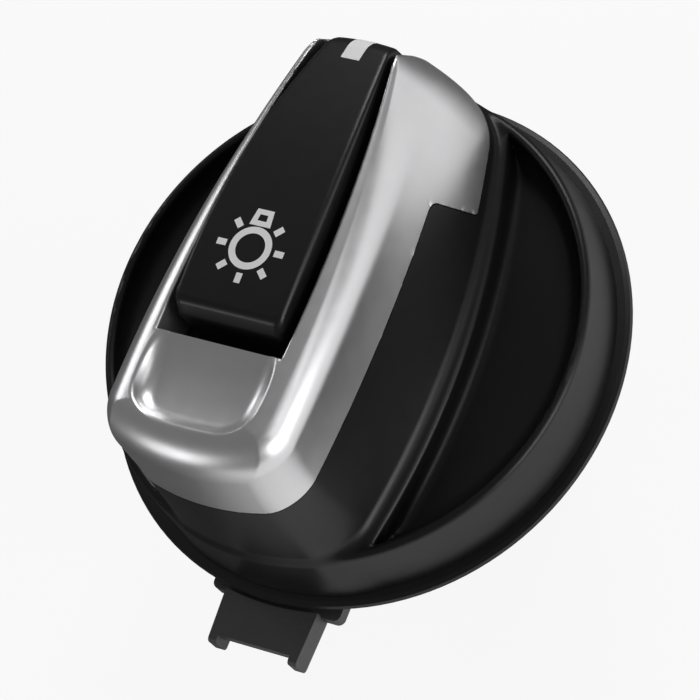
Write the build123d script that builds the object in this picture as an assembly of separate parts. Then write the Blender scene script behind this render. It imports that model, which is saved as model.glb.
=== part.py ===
"""Rotary headlight switch with a turning knob, in millimetres.

The origin is on the knob's axis, in the plane of the seat that rests on the panel.
+Z points out of the knob's face, +Y along its pointer and +X to the pointer's right.
"""
from build123d import *
import math
import os

# Fixed carrier and its seat on the panel
flange_radius = 20.5
flange_thickness = 2.0
running_gap = 0.4
sleeve_wall = 1.0
sleeve_height = 2.0
sleeve_drop = 1.2

# Locating lug of the carrier
lug_half_width = 4.4
lug_tip_half_width = 4.22
lug_root_radius = 23.2
lug_reach = 26.8
lug_plate = 1.1
lug_top = 1.9
lug_side_wall = 0.8
lug_side_height = 2.25
lug_foot_reach = 27.5
collar_half_width = 6.1
collar_reach = 22.9
collar_top = 1.2
collar_round = 0.6

# Base ring and skirt; heights are above the back of the ring
ring_radius = 23.0
ring_thickness = 0.55
ring_shoulder = 0.5
ring_shoulder_drop = 0.12
ring_lip_wall = 0.8
ring_lip_height = 1.2
skirt_radius = 21.85
skirt_draft = 5.2
skirt_wall = 1.9
rim_height = 6.4
rim_width = 0.95
rim_round = 0.4
cove_radius = 2.4
pocket_floor = 4.0
pocket_half_width = 11.85
pocket_middle = -3.5
pocket_arc = 65.0
floor_wall = 1.6

# Grip; each half width is an arc in plan with its own middle, radius and height
foot_half_width = 11.6
foot_middle = -2.5
foot_arc = 60.0
waist_half_width = 8.6
waist_middle = -5.0
waist_arc = 140.0
waist_height = 14.5
shoulder_half_width = 8.5
shoulder_middle = -10.0
shoulder_arc = 140.0
shoulder_drop = 3.2
shoulder_fall = 0.03
brow_half_width = 6.4
brow_middle = -6.0
brow_arc = 130.0
brow_height = 23.9
brow_start = -16.0
brow_slope = 0.06
brow_fall_arc = 900.0
brow_angle = 65.0
crown_dip = 0.3
land_width = 0.6
tail_round = 2.6
pointer_round = 1.4

# Satin trim
trim_wall = 1.2
fit_gap = 0.1
trim_edge_height = 15.4
trim_edge_start = -20.0
trim_edge_slope = 0.04
flag_height = 8.0
flag_start = 8.9
flag_lean = 1.9
flag_corner = 0.8
dish_start = -9.57
dish_front = -16.95
dish_bow = 0.5
dish_corner = 2.6
dish_lip_height = 23.15
dish_sag = 1.1
dish_crest_height = 23.55

# Key cap, its pointer window and the light guide under it
cap_front = -7.1
cap_ridge_drop = 1.6
cap_ridge_step = 1.0
cap_peak_height = 24.4
cap_peak = -3.0
cap_fall_arc = 61.4
cap_half_width = 5.0
cap_middle = -4.0
cap_arc = 120.0
cap_recess = 0.85
cap_end_round = 2.4
cap_edge_round = 0.4
cap_wall = 1.2
tongue_wall = 1.3
channel_floor = 18.4
pointer_half_width = 0.845
pointer_start = 16.7
pointer_end_height = 16.5
pointer_depth = 0.35
guide_radius = 1.8
guide_half_width = 3.2
guide_plate = 1.5
guide_gap = 0.25
guide_reach = 16.4
guide_collar_radius = 3.0
guide_collar = 0.8

# Drive hub and what turns with it
hub_radius = 4.0
hub_bore = 2.2
hub_fit = 0.05
hub_collar_radius = 4.7
hub_plate = 1.5
hub_plate_height = 3.0
hub_plate_width = 6.0
hub_flat = 3.5
hub_foot = -5.2
core_half_width = 5.0
core_back = -15.0
core_front = 13.4
core_ceiling = 13.0
core_corner = 1.5
post_offset = 10.2
post_radius = 2.0
hub_screw_radius = 0.9
hub_screw_length = 6.5
hub_screw_hole = 6.0
screw_slot = 0.4
screw_head_radius = 1.6
screw_head = 0.9
track_inner = 5.9
track_outer = 8.7
track_thickness = 1.2
notch_radius = 1.2
notch_depth = 0.5
notch_step = 30.0
notch_count = 4
plunger_circle = 7.3
plunger_radius = 1.0
plunger_length = 1.7
plunger_clearance = 0.05
rotor_radius = 9.0
rotor_gap = 0.35
rotor_foot = -4.4
spring_wire = 0.15
spring_turns = 3
spring_seat = 0.35
clip_thickness = 0.5
clip_groove = 0.45
clip_radius = 5.0
clip_gap_angle = 70.0
turn_range = 90.0

# Contacts, board and rear housing
board_top = -6.2
board_thickness = 0.8
board_radius = 12.2
contact_circles = (5.6, 6.8, 8.0)
contact_width = 0.9
leaf_thickness = 0.2
track_copper = 0.07
track_sweep = 150.0
housing_radius = 14.0
housing_groove = 0.5
groove_fit = 0.05
groove_room = 1.2
spigot_step = 0.6
housing_wall = 1.4
housing_depth = 12.0
housing_bottom = 1.2
ledge_wall = 1.2
column_circle = 11.3
column_radius = 1.45
column_angles = (135.0, 315.0)
case_screw_radius = 0.8
case_screw_grip = 1.5
socket_length = 11.0
socket_width = 6.0
socket_wall = 1.0
socket_roof = 0.7
socket_drop = 4.5
pin_size = 0.5
pin_pitch = 2.5
pin_row = 1.6
pin_recess = 4.6
stop_width = 1.2
stop_play = 2.0
lug_arm = 11.6
lamp_height = 0.6
guide_foot = -5.0

ring_back = flange_thickness + running_gap
sleeve_top = ring_back + sleeve_height
reach = 25.0
sky = 32.0


def up(height):
    """Height above the back of the ring, in the part's frame."""
    return ring_back + height


def polar(radius, angle):
    """Place on a circle, the angle in degrees from +X."""
    turn = math.radians(angle)
    return (radius * math.cos(turn), radius * math.sin(turn))


def disc(radius, low, high):
    """Upright cylinder between two levels."""
    return Pos(0, 0, low) * Cylinder(radius, high - low, align=(Align.CENTER, Align.CENTER, Align.MIN))


def block(x_low, x_high, y_low, y_high, z_low, z_high):
    """Box between its limits."""
    size = (x_high - x_low, y_high - y_low, z_high - z_low)
    return Pos(x_low, y_low, z_low) * Box(*size, align=(Align.MIN, Align.MIN, Align.MIN))


def spin(points):
    """Solid of revolution about the knob's axis from (radius, level) points."""
    return revolve(Plane.XZ * make_face(Polyline(*points, close=True)), Axis.Z)


def side_slab(outline, half_width):
    """Side view outline, in (y, z), drawn out to both sides of the grip."""
    plane = Plane(origin=(0, 0, 0), x_dir=(0, 1, 0), z_dir=(1, 0, 0))
    return extrude(plane * outline, amount=half_width, both=True)


def arc_half_width(y, middle, half_width, radius):
    """Half width at y of a plan whose side is a shallow arc."""
    return half_width - (y - middle) ** 2 / (2 * radius)


def plan_prism(middle, half_width, radius, y_low, low, high):
    """Upright prism along the pointer whose two long sides are shallow arcs."""

    def side(y):
        return arc_half_width(y, middle, half_width, radius)

    y_mid = (y_low + reach) / 2
    right = ThreePointArc((side(y_low), y_low), (side(y_mid), y_mid), (side(reach), reach))
    front = Line((side(reach), reach), (-side(reach), reach))
    left = ThreePointArc((-side(reach), reach), (-side(y_mid), y_mid), (-side(y_low), y_low))
    back = Line((-side(y_low), y_low), (side(y_low), y_low))
    plan = make_face([right, front, left, back])
    return Pos(0, 0, up(low)) * extrude(plan, amount=high - low)


def brow_top(y):
    """Height of the trim's inner edge along the grip."""
    run = y - brow_start
    return brow_height - brow_slope * run - run**2 / (2 * brow_fall_arc)


def flank_points(y, inset, top_height):
    """Points up the right flank at y, from under the pocket floor to a height."""
    foot = arc_half_width(y, foot_middle, foot_half_width, foot_arc) - inset
    waist = arc_half_width(y, waist_middle, waist_half_width, waist_arc) - inset
    shoulder = arc_half_width(y, shoulder_middle, shoulder_half_width, shoulder_arc) - inset
    shoulder_height = shoulder_level(y)
    start = pocket_floor - floor_wall
    points = []
    for step in range(5):
        height = start + (top_height - start) * step / 4
        low = (height - waist_height) * (height - shoulder_height)
        low /= (pocket_floor - waist_height) * (pocket_floor - shoulder_height)
        mid = (height - pocket_floor) * (height - shoulder_height)
        mid /= (waist_height - pocket_floor) * (waist_height - shoulder_height)
        high = (height - pocket_floor) * (height - waist_height)
        high /= (shoulder_height - pocket_floor) * (shoulder_height - waist_height)
        points.append((low * foot + mid * waist + high * shoulder, up(height)))
    return points


def shoulder_level(y):
    """Height at which the flank turns into the rounded shoulder."""
    return brow_top(y) - shoulder_drop - shoulder_fall * (y - brow_start)


def grip_section(y):
    """Cross-section of the grip at y: flared flanks and rounded shoulders."""
    side = flank_points(y, 0, shoulder_level(y))
    shoulder = side[-1][0]
    brow = arc_half_width(y, brow_middle, brow_half_width, brow_arc)
    across = (shoulder - brow) / (1 - math.cos(math.radians(brow_angle)))
    rise = (brow_top(y) - shoulder_level(y)) / math.sin(math.radians(brow_angle))
    for share in (1 / 3, 2 / 3, 1):
        turn = math.radians(brow_angle * share)
        x = shoulder - across + across * math.cos(turn)
        side.append((x, up(shoulder_level(y) + rise * math.sin(turn))))
    side.append((brow * 0.6, up(brow_top(y))))
    crown = (0, up(brow_top(y) - crown_dip))
    other = [(-x, z) for x, z in reversed(side)]
    return make_face([Spline(*side, crown, *other), Line(other[-1], side[0])])


def core_section(y, inset):
    """Cross-section of the body inside the trim, flat on top."""
    right = flank_points(y, inset, channel_floor)
    left = [(-x, z) for x, z in reversed(right)]
    top = Line(right[-1], left[0])
    return make_face([Spline(*right), top, Spline(*left), Line(left[-1], right[0])])


def along_pointer(section):
    """Loft of a cross-section, a function of y, from end to end."""
    stations = 7
    faces = []
    for step in range(stations):
        y = -reach + 2 * reach * step / (stations - 1)
        plane = Plane(origin=(0, y, 0), x_dir=(1, 0, 0), z_dir=(0, -1, 0))
        faces.append(plane * section(y))
    return loft(faces)


def cone(inset, low, high):
    """Solid inside the skirt's drafted wall, between two heights."""
    lean = math.tan(math.radians(skirt_draft))
    at_low = skirt_radius - inset - (low - ring_thickness) * lean
    at_high = skirt_radius - inset - (high - ring_thickness) * lean
    return spin([(0, up(low)), (at_low, up(low)), (at_high, up(high)), (0, up(high))])


def above_land():
    """Everything above the narrow land that runs round the channel and the dish."""
    steps = 6
    line = []
    for step in range(steps + 1):
        y = -reach + 2 * reach * step / steps
        line.append((y, up(brow_top(y))))
    sides = Polyline(line[-1], (reach, up(sky)), (-reach, up(sky)), line[0])
    return side_slab(make_face([Spline(*line), sides]), reach)


def outer_grip():
    """Grip with its end walls and their rounded edges."""
    solid = along_pointer(grip_section) & cone(0, pocket_floor - floor_wall, sky)
    rims = solid.edges().sort_by(SortBy.LENGTH)[-2:]
    tail = min(rims, key=lambda rim: rim.center().Y)
    solid = fillet([tail], tail_round)
    rims = solid.edges().filter_by(lambda rim: rim.center().Y > 0).sort_by(SortBy.LENGTH)
    solid = fillet([rims[-1]], pointer_round)
    return solid - above_land()


def puck():
    """Skirt with a flat top whose outer edge is rounded."""
    rim_radius = skirt_radius - (rim_height - ring_thickness) * math.tan(math.radians(skirt_draft))
    low = up(ring_thickness)
    top = up(rim_height)
    profile = make_face(Polyline((0, low), (skirt_radius, low), (rim_radius, top), (0, top), close=True))
    corner = profile.vertices().filter_by(lambda spot: spot.Y > top - 0.01 and spot.X > 1)
    return revolve(Plane.XZ * fillet(corner, rim_round), Axis.Z)


def pockets():
    """Two D-shaped finger pockets beside the grip, coved up to the rim."""
    land = skirt_radius - (rim_height - ring_thickness) * math.tan(math.radians(skirt_draft)) - rim_width
    bend = math.sqrt(0.5)
    drop = rim_height - pocket_floor
    cove = ThreePointArc(
        (land, up(rim_height)),
        (land - cove_radius * (1 - bend), up(rim_height - drop * bend)),
        (land - cove_radius, up(pocket_floor)),
    )
    rest = Polyline(
        (land - cove_radius, up(pocket_floor)), (0, up(pocket_floor)), (0, up(sky)), (land, up(sky)),
        (land, up(rim_height)),
    )
    bowl = revolve(Plane.XZ * make_face([cove, rest]), Axis.Z)
    between = plan_prism(pocket_middle, pocket_half_width, pocket_arc, -reach, pocket_floor - 1, sky + 1)
    return bowl - between


def trim_zone(gap):
    """Everything above the trim's lower edge, with the flags at the pointer end."""

    def edge(y):
        return up(trim_edge_height - trim_edge_slope * (y - trim_edge_start)) - gap

    start = flag_start - gap
    outline = Polyline(
        (-reach - 5, edge(-reach - 5)),
        (start, edge(start)),
        (start + flag_lean, up(flag_height) - gap),
        (reach + 5, up(flag_height) - gap),
        (reach + 5, up(sky)),
        (-reach - 5, up(sky)),
        close=True,
    )
    face = make_face(outline)
    corners = face.vertices().filter_by(lambda corner: 0 < corner.X < reach)
    return side_slab(fillet(corners, flag_corner), reach)


def core_form(inset):
    """Upper body that the trim fits over."""
    form = along_pointer(lambda y: core_section(y, inset))
    return form & cone(inset, pocket_floor - floor_wall, channel_floor)


def channel():
    """Room between the limbs of the trim, open at the pointer end."""
    return plan_prism(brow_middle, brow_half_width - land_width, brow_arc, dish_start, flag_height - 1, sky)


def dish():
    """Cutter of the finger dish: a hollow with a cove along its walls."""
    side_y = dish_front + dish_bow
    beyond = dish_start + 3

    def side(y):
        return arc_half_width(y, brow_middle, brow_half_width - land_width, brow_arc)

    middle = (side_y + beyond) / 2
    front = ThreePointArc((-side(side_y), side_y), (0, dish_front), (side(side_y), side_y))
    right = ThreePointArc((side(side_y), side_y), (side(middle), middle), (side(beyond), beyond))
    back = Line((side(beyond), beyond), (-side(beyond), beyond))
    left = ThreePointArc((-side(beyond), beyond), (-side(middle), middle), (-side(side_y), side_y))
    plan = make_face([front, right, back, left])
    corners = plan.vertices().filter_by(lambda corner: corner.Y < middle)
    well = Pos(0, 0, up(channel_floor)) * extrude(fillet(corners, dish_corner), amount=sky - channel_floor)
    low_y = (dish_start + dish_front) / 2
    low_z = (dish_lip_height + dish_crest_height) / 2 - dish_sag
    lip = Line((beyond, up(dish_lip_height)), (dish_start, up(dish_lip_height)))
    bowl = ThreePointArc(
        (dish_start, up(dish_lip_height)), (low_y, up(low_z)), (dish_front, up(dish_crest_height))
    )
    end = Line((dish_front, up(dish_crest_height)), (-reach, up(dish_crest_height)))
    far = Line((-reach, up(dish_crest_height)), (-reach, up(sky)))
    roof = Line((-reach, up(sky)), (beyond, up(sky)))
    near = Line((beyond, up(sky)), (beyond, up(dish_lip_height)))
    cutter = side_slab(make_face([lip, bowl, end, far, roof, near]), reach) & well
    return cutter


def grip_trim(grip):
    """Satin frame: two limbs with corner flags and a finger dish at the back."""
    return (grip & trim_zone(0)) - core_form(trim_wall) - channel() - dish()


def tongue_room(inset):
    """Space outside the core's end wall, between the limbs."""
    ring = cone(0, flag_height, sky) - cone(inset, flag_height, sky)
    return ring & plan_prism(brow_middle, brow_half_width - land_width, brow_arc, 0, flag_height, sky)


def knob_body(grip):
    """Black moulding: skirt, pockets and the core that carries everything else."""
    core = core_form(trim_wall + fit_gap)
    solid = ((puck() + grip) - pockets()) - (trim_zone(fit_gap) - core)
    solid -= tongue_room(cap_recess + tongue_wall + fit_gap)
    inner = skirt_radius - skirt_wall
    solid -= disc(inner, up(0), up(pocket_floor - floor_wall))
    room = block(-core_half_width, core_half_width, core_back, core_front, up(0), up(core_ceiling))
    solid -= fillet(room.edges().filter_by(Axis.Z), core_corner)
    solid -= disc(guide_radius + guide_gap, up(core_ceiling), up(channel_floor))
    seat = up(hub_plate_height + hub_plate)
    for side in (-1, 1):
        post = disc(post_radius, seat, up(core_ceiling))
        post -= disc(hub_screw_radius, seat, seat + hub_screw_hole)
        solid += Pos(0, side * post_offset, 0) * post
    return solid


def base_ring():
    """Thin ring that closes the skirt, with a lip inside it."""
    inner = skirt_radius - skirt_wall - fit_gap - ring_lip_wall
    edge = ring_radius - ring_shoulder
    lip = inner + ring_lip_wall
    return spin(
        [
            (inner, up(0)),
            (ring_radius, up(0)),
            (edge + ring_shoulder * 0.75, up(ring_thickness - ring_shoulder_drop * 2)),
            (edge, up(ring_thickness - ring_shoulder_drop)),
            (skirt_radius - 0.1, up(ring_thickness)),
            (lip, up(ring_thickness)),
            (lip, up(ring_thickness + ring_lip_height)),
            (inner, up(ring_thickness + ring_lip_height)),
        ]
    )


def cap_top(y):
    """Height of the key cap's top along the pointer."""
    return cap_peak_height - (y - cap_peak) ** 2 / (2 * cap_fall_arc)


def cap_side(drop, front, low, tongue):
    """Side view of the cap, or of the room in it, between its front and the pointer end."""
    middle = (front + reach) / 2
    crown = ThreePointArc(
        (front, up(cap_top(front) - drop)),
        (middle, up(cap_top(middle) - drop)),
        (reach, up(cap_top(reach) - drop)),
    )
    lines = [crown]
    corners = [(reach, up(cap_top(reach) - drop)), (reach, up(tongue))]
    if tongue < low:
        corners += [(core_front, up(tongue)), (core_front, up(low))]
    if drop == 0:
        ridge = up(cap_top(front) - cap_ridge_drop)
        corners += [(front - cap_ridge_step, up(low)), (front - cap_ridge_step, ridge)]
    else:
        corners += [(front, up(low))]
    corners += [(front, up(cap_top(front) - drop))]
    return make_face(lines + [Polyline(*corners)])


def cap_block():
    """Key cap and pointer window as one block, rounded but not yet hollow."""
    slab = side_slab(cap_side(0, cap_front, channel_floor, flag_height + fit_gap), reach)
    solid = slab & plan_prism(cap_middle, cap_half_width, cap_arc, cap_front - 2, flag_height, sky)
    solid = solid & cone(cap_recess, flag_height, sky)
    end = solid.edges().filter_by(
        lambda rim: rim.center().Y > core_front + 4 and rim.center().Z > up(channel_floor)
    )
    end = end.sort_by(SortBy.LENGTH)
    across = min(end, key=lambda rim: abs(rim.center().X) + (rim.length > 2 * cap_half_width) * reach)
    solid = fillet([across], cap_end_round)
    sides = solid.edges().filter_by(lambda rim: rim.center().Z > up(channel_floor + 3) and rim.length > 15)
    return fillet(sides, cap_edge_round)


def pointer_window(cap):
    """White bar let into the cap, from its top over the pointer end."""
    skin = cap - Pos(0, -pointer_depth, -pointer_depth) * cap
    window = (-pointer_half_width, pointer_half_width, pointer_start, reach)
    return skin & block(*window, up(pointer_end_height), up(sky))


def key_cap(cap, window):
    """Black cap, hollow over the light guide, with a tongue over the pointer end."""
    front = cap_front + cap_wall
    side = cap_side(cap_wall, front, channel_floor - 1, channel_floor - 1)
    room = side_slab(side, reach)
    half_width = cap_half_width - cap_wall
    room = room & plan_prism(cap_middle, half_width, cap_arc, front, channel_floor - 1, sky)
    room = room & cone(cap_recess + tongue_wall, channel_floor - 1, sky)
    inside = cone(cap_recess + tongue_wall, flag_height, channel_floor)
    return cap - room - inside - window


def light_guide():
    """Clear rod up the hub, a collar on the core and a plate under the cap."""
    back = cap_front + cap_wall + guide_gap
    under = cap_wall + guide_gap

    def band(y, drop):
        return (y, up(cap_top(y) - drop))

    front = guide_reach
    middle = (back + front) / 2
    top = ThreePointArc(band(back, under), band(middle, under), band(front, under))
    deep = under + guide_plate
    low = ThreePointArc(band(front, deep), band(middle, deep), band(back, deep))
    ends = [Line(band(front, under), band(front, deep)), Line(band(back, deep), band(back, under))]
    plate = side_slab(make_face([top, low] + ends), reach)
    plate = plate & plan_prism(cap_middle, guide_half_width, cap_arc, back - 1, flag_height, sky)
    rod = disc(guide_radius, guide_foot, up(cap_peak_height - deep))
    collar = disc(guide_collar_radius, up(channel_floor), up(channel_floor + guide_collar))
    return rod + collar + plate


def drive_hub():
    """Hollow shaft with a bar that the knob is screwed to and two flats below."""
    bar_low = up(hub_plate_height)
    hub = disc(hub_radius, hub_foot, bar_low) + disc(hub_collar_radius, sleeve_top + running_gap, bar_low)
    plan = SlotCenterToCenter(2 * post_offset, hub_plate_width, rotation=90)
    hub += Pos(0, 0, bar_low) * extrude(plan, amount=hub_plate)
    flats_top = -rotor_top_depth() + 0.1
    for side in (-1, 1):
        middle = side * (hub_flat + hub_radius / 2)
        flat = block(middle - hub_radius / 2, middle + hub_radius / 2, -5, 5, hub_foot, flats_top)
        hub -= flat
        hub -= Pos(0, side * post_offset, bar_low) * Cylinder(hub_screw_radius + fit_gap, 4 * hub_plate)
    groove_top = rotor_foot - fit_gap
    groove = disc(hub_radius + 1, groove_top - clip_thickness - fit_gap / 2, groove_top + fit_gap / 2)
    hub -= groove - disc(hub_radius - clip_groove, groove_top - 2, groove_top + 2)
    return hub - disc(hub_bore, hub_foot, bar_low + hub_plate)


def screw_driver_slot(seat):
    """Slot across the lower half of a screw head that sits at a level."""
    wide = screw_head_radius
    return block(-wide, wide, -screw_slot / 2, screw_slot / 2, seat - screw_head, seat - screw_head / 2)


def hub_screws():
    """Two pan head screws that hold the knob on the hub."""
    screws = []
    for side in (-1, 1):
        seat = up(hub_plate_height)
        shank = disc(hub_screw_radius, seat, seat + hub_screw_length)
        head = disc(screw_head_radius, seat - screw_head, seat)
        head -= screw_driver_slot(seat)
        screws.append(Pos(0, side * post_offset, 0) * (head + shank))
    return Compound(children=screws)


def rotor_top_depth():
    """Depth of the rotor's upper face below the seat plane."""
    return track_thickness + rotor_gap


def rotor():
    """Contact carrier on the hub's flats, with two plunger bores and a stop arm."""
    top = -rotor_top_depth()
    solid = disc(rotor_radius, rotor_foot, top)
    arm = block(-stop_width / 2, stop_width / 2, rotor_radius - 1, lug_arm, rotor_foot, top)
    hole = disc(hub_radius + hub_fit, rotor_foot, top)
    flats = block(-hub_flat - hub_fit, hub_flat + hub_fit, -5, 5, rotor_foot, top)
    solid = solid + arm - (hole & flats)
    for side in (-1, 1):
        bore = disc(plunger_radius + plunger_clearance, rotor_foot + spring_seat, top)
        solid -= Pos(side * plunger_circle, 0, 0) * bore
    for number, circle in enumerate(contact_circles):
        turn = Rot(0, 0, contact_angle(number))
        stud = disc(contact_width / 4, rotor_foot - 2 * leaf_thickness, rotor_foot)
        solid += turn * Pos(circle, -1.5, 0) * stud
    return solid


def contact_angle(number):
    """Angle at which each contact spring starts."""
    return 90 + 120 * number


def wiper_contacts():
    """Three leaf springs under the rotor, each bent down to its own track."""
    springs = []
    top = rotor_foot
    tip = board_top + track_copper + fit_gap
    for number, circle in enumerate(contact_circles):
        back = tip + leaf_thickness
        upper = [(-2.4, top), (-0.4, top), (1.4, back), (2.0, back), (2.6, tip + 0.7)]
        lower = [(y, z - leaf_thickness) for y, z in reversed(upper)]
        leaf = make_face(Polyline(*upper, *lower, close=True))
        solid = side_slab(leaf, contact_width / 2)
        solid -= Pos(0, -1.5, 0) * disc(contact_width / 4 + 0.02, top - 1, top)
        springs.append(Rot(0, 0, contact_angle(number)) * Pos(circle, 0, 0) * solid)
    return Compound(children=springs)


def detent_track():
    """Ring with radial notches in its lower face, one pair for each position."""
    solid = disc(track_outer, -track_thickness, 0) - disc(track_inner, -track_thickness, 0)
    level = -track_thickness + notch_depth - notch_radius
    for number in range(notch_count):
        for side in (0, 180):
            notch = Pos(plunger_circle, 0, level) * Rot(0, 90, 0) * Cylinder(notch_radius, 2 * plunger_circle)
            far = notch & block(0, 2 * plunger_circle, -3, 3, -5, 0)
            solid -= Rot(0, 0, side - notch_step * number) * far
    return solid


def detent_plunger(side):
    """Round-nosed pin, shown drawn in so that its nose is clear of the crests."""
    nose = -track_thickness - plunger_clearance
    pin = disc(plunger_radius, nose - plunger_length, nose)
    dome = Pos(0, 0, nose - plunger_radius) * Sphere(plunger_radius)
    pin = pin & (dome + disc(plunger_radius, nose - plunger_length, nose - plunger_radius))
    return Pos(side * plunger_circle, 0, 0) * pin


def detent_spring(side):
    """Small coil spring between the bore's bottom and the plunger."""
    low = rotor_foot + spring_seat + spring_wire
    high = -track_thickness - plunger_clearance - plunger_length - spring_wire
    pitch = (high - low) / spring_turns
    radius = plunger_radius - 2 * spring_wire
    path = Helix(pitch, high - low, radius)
    wire = sweep(Plane(path @ 0, z_dir=path % 0) * Circle(spring_wire), path, is_frenet=True)
    return Pos(side * plunger_circle, 0, low) * wire


def hub_clip():
    """Open snap ring in the hub's groove."""
    top = rotor_foot - fit_gap
    solid = disc(clip_radius, top - clip_thickness, top)
    solid -= disc(hub_radius - clip_groove + hub_fit, top - clip_thickness, top)
    half = math.radians(clip_gap_angle / 2)
    wide = 2 * clip_radius
    mouth = make_face(
        Polyline((0, 0), (wide * math.cos(half), wide * math.sin(half)),
                 (wide * math.cos(half), -wide * math.sin(half)), close=True)
    )
    return solid - Pos(0, 0, top - 2) * extrude(mouth, amount=4)


def carrier():
    """Fixed moulding: flange, sleeve for the hub and the channel-shaped lug."""
    solid = disc(flange_radius, 0, flange_thickness)
    root = block(-collar_half_width, collar_half_width, -collar_reach, -flange_radius / 2, 0, collar_top)
    front = root.edges().filter_by(Axis.Z).sort_by(Axis.Y)[:2]
    solid += fillet(front, collar_round)
    solid += lug()
    solid += disc(hub_radius + hub_fit + sleeve_wall, -sleeve_drop, sleeve_top)
    solid -= disc(hub_radius + hub_fit, -sleeve_drop, sleeve_top)
    inner = housing_radius - housing_wall - groove_fit
    solid -= disc(housing_radius + groove_room, 0, housing_groove) - disc(inner, 0, housing_groove)
    for angle in column_angles:
        x, y = polar(column_circle, angle)
        solid -= Pos(x, y, 0) * disc(case_screw_radius, 0, case_screw_grip)
    return solid


def lug():
    """Channel-shaped locating lug: a plate with an arched root and two side walls."""
    back = -flange_radius + 2
    outline = Polyline(
        (-lug_half_width, back), (lug_half_width, back), (lug_half_width, -lug_root_radius),
        (lug_tip_half_width, -lug_foot_reach), (-lug_tip_half_width, -lug_foot_reach),
        (-lug_half_width, -lug_root_radius), close=True,
    )
    plan = make_face(outline)
    low = lug_top - lug_side_height
    solid = Pos(0, 0, low) * extrude(plan, amount=lug_side_height)
    inner = lug_tip_half_width - lug_side_wall
    solid -= block(-inner, inner, -reach - 5, -collar_reach, low, lug_top - lug_plate)
    solid -= block(-inner, inner, -reach - 5, -lug_reach, low, lug_top)
    solid -= disc(lug_root_radius, collar_top, lug_top)
    tips = solid.edges().filter_by(Axis.X).filter_by(lambda rim: rim.center().Y < -lug_foot_reach + 0.1)
    return fillet(tips, lug_side_wall / 2)


def contact_board():
    """Round board with holes for the columns and the pins."""
    solid = disc(board_radius, board_top - board_thickness, board_top)
    for angle in column_angles:
        x, y = polar(column_circle, angle)
        solid -= Pos(x, y, 0) * disc(column_radius + 2 * fit_gap, board_top - board_thickness, board_top)
    for x, y in pin_places():
        solid -= Pos(x, y, board_top) * Box(pin_size, pin_size, 4 * board_thickness)
    return solid


def pin_places():
    """Places of the socket's pins, two rows of three."""
    return [(column * pin_pitch, row * pin_row) for row in (-1, 1) for column in (-1, 0, 1)]


def contact_tracks():
    """Copper arcs on the board under the contact springs."""
    tracks = []
    for number, circle in enumerate(contact_circles):
        wide = contact_width / 2
        ring = disc(circle + wide, board_top, board_top + track_copper)
        ring -= disc(circle - wide, board_top, board_top + track_copper)
        start = contact_angle(number) + 30
        far = 2 * board_radius
        fan = [(0, 0)] + [polar(far, start - track_sweep * step / 3) for step in range(4)]
        sector = extrude(make_face(Polyline(*fan, close=True)), amount=2)
        tracks.append(ring & Pos(0, 0, board_top - 1) * sector)
    return Compound(children=tracks)


def terminals():
    """Square pins from the board down into the socket."""
    low = -housing_depth - socket_drop + pin_recess
    pins = []
    for x, y in pin_places():
        height = board_top + pin_size / 2 - low
        pins.append(Pos(x, y, low + height / 2) * Box(pin_size, pin_size, height))
    return Compound(children=pins)


def lamp_led():
    """Light source on the board, under the guide."""
    return block(-1.0, 1.0, -0.8, 0.8, board_top, board_top + lamp_height)


def series_resistor():
    """Small resistor beside the contact area."""
    return block(-1.0, 1.0, -10.9, -9.7, board_top, board_top + lamp_height)


def rear_housing():
    """Cup behind the panel with the socket, two screw columns and the turn stops."""
    inner = housing_radius - housing_wall
    floor = -housing_depth + housing_bottom
    solid = disc(housing_radius, -housing_depth, 0) + disc(housing_radius - spigot_step, 0, housing_groove)
    solid -= disc(inner, floor, housing_groove)
    ledge_top = board_top - board_thickness
    solid += disc(inner, floor, ledge_top) - disc(inner - ledge_wall, floor, ledge_top)
    box_x = socket_length / 2 + socket_wall
    box_y = socket_width / 2 + socket_wall
    mouth = -housing_depth - socket_drop
    solid += block(-box_x, box_x, -box_y, box_y, mouth, ledge_top)
    half_x = socket_length / 2
    half_y = socket_width / 2
    solid -= block(-half_x, half_x, -half_y, half_y, mouth, ledge_top - socket_roof)
    for x, y in pin_places():
        solid -= Pos(x, y, ledge_top) * Box(pin_size, pin_size, 4 * socket_roof)
    half_play = math.degrees(stop_width / lug_arm) + stop_play
    for angle in (90 + half_play, 90 - turn_range - half_play):
        half_rib = stop_width / 2
        rib = block(rotor_radius + 0.6, inner + 0.2, -half_rib, half_rib, rotor_foot, -rotor_top_depth())
        solid += Rot(0, 0, angle) * rib
    for angle in column_angles:
        x, y = polar(column_circle, angle)
        place = Pos(x, y, 0)
        solid += place * disc(column_radius, floor, 0)
        solid -= place * disc(case_screw_radius + fit_gap, -housing_depth, 0)
        solid -= place * disc(screw_head_radius + fit_gap, -housing_depth, floor)
    return solid


def housing_screws():
    """Two screws from behind, through the columns into the carrier."""
    screws = []
    seat = -housing_depth + housing_bottom
    for angle in column_angles:
        x, y = polar(column_circle, angle)
        shank = disc(case_screw_radius, seat, case_screw_grip - 0.1)
        head = disc(screw_head_radius, seat - screw_head, seat)
        head -= screw_driver_slot(seat)
        screws.append(Pos(x, y, 0) * (head + shank))
    return Compound(children=screws)


def save(name, solid):
    """Write one sub-part."""
    export_step(solid, "parts/" + name + ".step")


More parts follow.
